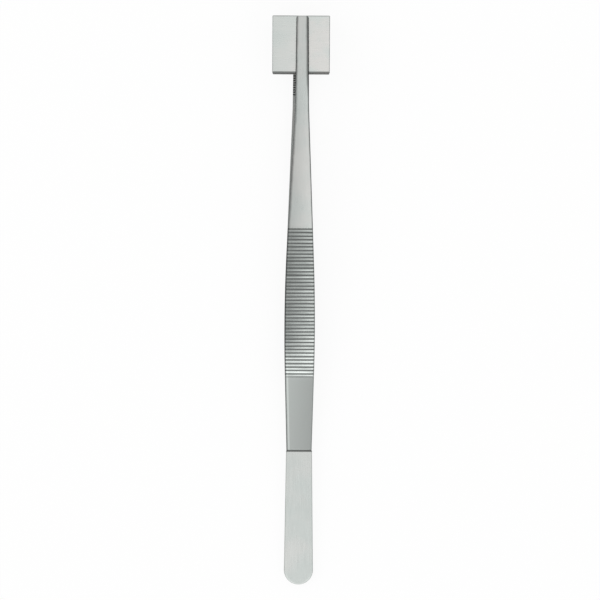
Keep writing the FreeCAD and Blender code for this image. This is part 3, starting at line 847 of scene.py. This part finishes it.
# %% Run the cutters
CUTS = [
    dict(first_station=FIRST_GROOVE, pitch=GROOVE_PITCH, count=GROOVES, mouth_width=GROOVE_MOUTH,
         floor_width=GROOVE_FLOOR, depth=GROOVE_DEPTH, unevenness=0.03, seed=7,
         depth_below="below_outer", into_the_steel=(0, 0, -1), mark="groove"),
    dict(first_station=FIRST_TOOTH - (TEETH - 1) * TOOTH_PITCH, pitch=TOOTH_PITCH, count=TEETH,
         mouth_width=TOOTH_MOUTH, floor_width=TOOTH_FLOOR, depth=TOOTH_DEPTH, unevenness=0.02, seed=3,
         depth_below="above_inner", into_the_steel=(0, 0, 1), mark="tooth")]


def cut_strip(name, blank):
    """The blank with its grooves and teeth, as a plain mesh."""
    work = bpy.data.objects.new(name, blank)
    bpy.context.collection.objects.link(work)
    for cut in CUTS:
        modifier = work.modifiers.new(cut["mark"], "NODES")
        modifier.node_group = cutter
        for item in cutter.interface.items_tree:
            key = item.name.lower().replace(" ", "_")
            if item.in_out == "INPUT" and (key in cut or key == "steel"):
                modifier[item.identifier] = cut.get(key, strip_material)
    evaluated = work.evaluated_get(bpy.context.evaluated_depsgraph_get())
    result = bpy.data.meshes.new_from_object(evaluated)
    result.name = name
    work.modifiers.clear()
    work.data = result
    return work


strips = {}
for side, name in ((1, "upper_strip"), (-1, "lower_strip")):
    strip = cut_strip(name, strip_mesh)
    put_points(strip.data, lay(points_of(strip.data), side))
    soften(strip.data)
    strips[side] = strip
    print(name, len(strip.data.polygons), "faces")

# %% [markdown]
# Each strip is one springy length of steel, which on the real tool bends over the thin stretch when it is
# squeezed. Here each strip is baked where it lies, and the frame's head and arm pieces are hidden.

# %% The strips are baked where they lie
for side, body in ((1, "upper_arm"), (-1, "lower_arm")):
    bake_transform(strips[side])
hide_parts("head", "upper_arm")
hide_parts("head", "lower_arm")

# %% [markdown]
# ## The mashing plates
#
# Each plate is a square of flat sheet, cut with nearly sharp corners and its border taken off with a
# file. It is drawn as loops: the border's bevel, the wall, and the bevel again, closed by flat faces.

# %% Make a plate
PLATE_CORNER, PLATE_BEVEL = 0.4, 0.25
BEVEL_TURNS = np.radians((0, 30, 60, 90))


def square_loop(inset, height, corner_steps=6):
    """A square with round corners, so far inside the plate's outline."""
    reach, radius = PLATE_SIDE / 2 - max(PLATE_CORNER, inset), max(PLATE_CORNER - inset, 0)
    middle = ARM - PLATE_SIDE / 2
    loop = []
    for quarter in range(4):
        corner = math.pi / 4 + quarter * math.pi / 2
        for turned in np.linspace(-math.pi / 4, math.pi / 4, corner_steps + 1) + corner:
            x = math.copysign(reach, math.cos(corner)) + radius * math.cos(turned)
            y = math.copysign(reach, math.sin(corner)) + radius * math.sin(turned)
            loop.append((x, middle + y, height))
    return loop


def plate_mesh(name):
    """A flat square sheet with a bevel round both faces, squeezed shut."""
    bevel = [(PLATE_BEVEL * (1 - math.sin(a)), PLATE_BEVEL * (1 - math.cos(a))) for a in BEVEL_TURNS]
    loops = [square_loop(inset, PLATE_INNER + rise) for inset, rise in bevel]
    loops += [square_loop(inset, PLATE_OUTER - rise) for inset, rise in reversed(bevel)]
    loops = [square_loop(3 * PLATE_BEVEL, PLATE_INNER)] + loops + [square_loop(3 * PLATE_BEVEL, PLATE_OUTER)]
    mesh = skin(name, np.array(loops))
    points = points_of(mesh)
    across = np.maximum(abs(points[:, 0]), abs(points[:, 1] - ARM + PLATE_SIDE / 2))
    store(mesh, "from_edge", (PLATE_SIDE / 2 - across).clip(0))
    store(mesh, "from_rear", points[:, 1] - ARM + PLATE_SIDE)
    return mesh


for side, name in ((1, "upper"), (-1, "lower")):
    mesh = plate_mesh(f"{name}_mashing_plate")
    put_points(mesh, lay(points_of(mesh), side))
    soften(mesh)
    mesh.materials.append(plate_material)
    plate = bpy.data.objects.new(f"{name}_mashing_plate", mesh)
    bpy.context.collection.objects.link(plate)
    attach(plate, f"{name}_arm")
    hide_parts(f"{name}_plate")

# %% [markdown]
# ## The table, the light and the camera
#
# The tool lies on a plain white table in a pale room. The light comes from overhead and from a wide
# roof window behind the head. Steel shows little but what it reflects, so the slopes that face the
# window come out bright, and those that face away from it come out dull. The camera and the steel see
# most of the table as a plain white glow, and the rest of it is paint that takes the tool's shadow.

# %% The table
FLOOR_SIZE, FLOOR_GLOW = 6.0, 0.90
FLOOR_TONE, FLOOR_ROUGHNESS, FLOOR_GLOSS = 0.86, 0.9, 0.1


def table():
    """A wide flat floor at the height of the frame's origin."""
    bpy.ops.mesh.primitive_plane_add(size=FLOOR_SIZE)
    plane = bpy.context.object
    plane.name = "table"
    material = bpy.data.materials.new("white_table")
    material.use_nodes = True
    t = Tree(material.node_tree)
    paint = t.tree.nodes["Principled BSDF"]
    paint.inputs["Base Color"].default_value = (FLOOR_TONE, FLOOR_TONE, FLOOR_TONE, 1)
    paint.inputs["Roughness"].default_value = FLOOR_ROUGHNESS
    paint.inputs["Specular IOR Level"].default_value = FLOOR_GLOSS
    glow = t.node("ShaderNodeEmission")
    glow.inputs["Color"].default_value = (1, 1, 1, 1)
    path = t.node("ShaderNodeLightPath").outputs
    seen = t.math("MAXIMUM", path["Is Camera Ray"], path["Is Glossy Ray"])
    seen = t.math("MAXIMUM", seen, path["Is Transmission Ray"])
    blend = t.node("ShaderNodeMixShader")
    t.feed(blend.inputs[0], t.math("MULTIPLY", seen, FLOOR_GLOW))
    t.feed(blend.inputs[1], paint.outputs[0])
    t.feed(blend.inputs[2], glow.outputs[0])
    t.feed(t.tree.nodes["Material Output"].inputs["Surface"], blend.outputs[0])
    plane.data.materials.append(material)
    plane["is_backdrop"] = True


table()

# %% The light
OVERHEAD, WALLS, REAR_WINDOW, LOW_SHARE = 0.97, 0.72, 0.85, 0.2
CEILING_RISE, WINDOW_EDGE, WINDOW_RISE = (0.25, 0.92), (0.26, 0.36), (0.45, 0.85)


def studio():
    """A pale room with a brighter ceiling and a wide roof window behind the head."""
    world = bpy.data.worlds.new("studio")
    bpy.context.scene.world = world
    world.use_nodes = True
    t = Tree(world.node_tree)
    split = t.node("ShaderNodeSeparateXYZ")
    t.feed(split.inputs[0], t.node("ShaderNodeTexCoord").outputs["Generated"])
    behind = t.math("MULTIPLY", split.outputs["Y"], -1.0)
    ceiling = t.remap(split.outputs["Z"], *CEILING_RISE, WALLS, OVERHEAD)
    window = t.remap(behind, *WINDOW_EDGE, 0, REAR_WINDOW)
    window = t.math("MULTIPLY", window, t.remap(split.outputs["Z"], *WINDOW_RISE, LOW_SHARE, 1))
    background = t.tree.nodes["Background"]
    background.inputs["Color"].default_value = (1, 1, 1, 1)
    t.feed(background.inputs["Strength"], t.math("ADD", ceiling, window))


def lamp(name, place, aim, size, power):
    """A soft rectangle of light that looks at one point."""
    light = bpy.data.lights.new(name, "AREA")
    light.shape, light.size, light.size_y, light.energy = "RECTANGLE", size[0], size[1], power
    made = bpy.data.objects.new(name, light)
    made.location = place
    way = [b - a for a, b in zip(place, aim)]
    made.rotation_mode = "QUATERNION"
    made.rotation_quaternion = Vector(way).to_track_quat("-Z", "Y")
    bpy.context.collection.objects.link(made)


studio()
lamp("side_softbox", place=(-1.2, 0.3, 1.3), aim=(0, 0, 0), size=(0.7, 0.9), power=3.0)

# %% The camera
CAMERA_HEIGHT, SENSOR, PICTURE = 1.25, 36.0, 600
TOP_ROW, BOTTOM_ROW, MIDDLE_COLUMN, ROLL = 15.5, 584.4, 299.8, math.radians(0.3)


def camera():
    """Straight down, with the lens and the place that put both ends of the tool on their rows."""
    pieces = [ob for ob in bpy.data.objects if ob.name.endswith(("_strip", "_plate"))]
    points = np.concatenate([points_of(ob.data) for ob in pieces])
    below = CAMERA_HEIGHT - points[:, 2]
    front, rear = (pick(points[:, 1] / below) for pick in (np.argmax, np.argmin))
    front_rise, rear_rise = PICTURE / 2 - TOP_ROW, PICTURE / 2 - BOTTOM_ROW
    spread = front_rise * below[front] - rear_rise * below[rear]
    pixels = spread / (points[front, 1] - points[rear, 1])
    ahead = points[front, 1] - front_rise * below[front] / pixels
    beside = (PICTURE / 2 - MIDDLE_COLUMN) * CAMERA_HEIGHT / pixels
    data = bpy.data.cameras.new("camera")
    data.sensor_width, data.lens = SENSOR, pixels / PICTURE * SENSOR
    made = bpy.data.objects.new("camera", data)
    made.location = (beside, ahead, CAMERA_HEIGHT)
    made.rotation_euler = (0, 0, ROLL)
    bpy.context.collection.objects.link(made)
    bpy.context.scene.camera = made
    print(f"lens {data.lens:.1f} mm, camera at {[round(v, 4) for v in made.location]}")


camera()

# %% The picture's settings
bpy.context.scene.view_settings.view_transform = "Standard"

# %% Compare the sizes
own_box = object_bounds()
boxes = {"cad": [list(corner) for corner in cad_box], "scene": [list(corner) for corner in own_box]}
cad_sides, own_sides = np.ravel(boxes["cad"]), np.ravel(boxes["scene"])
print("sizes differ by", (1000 * (own_sides - cad_sides)).round(2).tolist(), "mm")
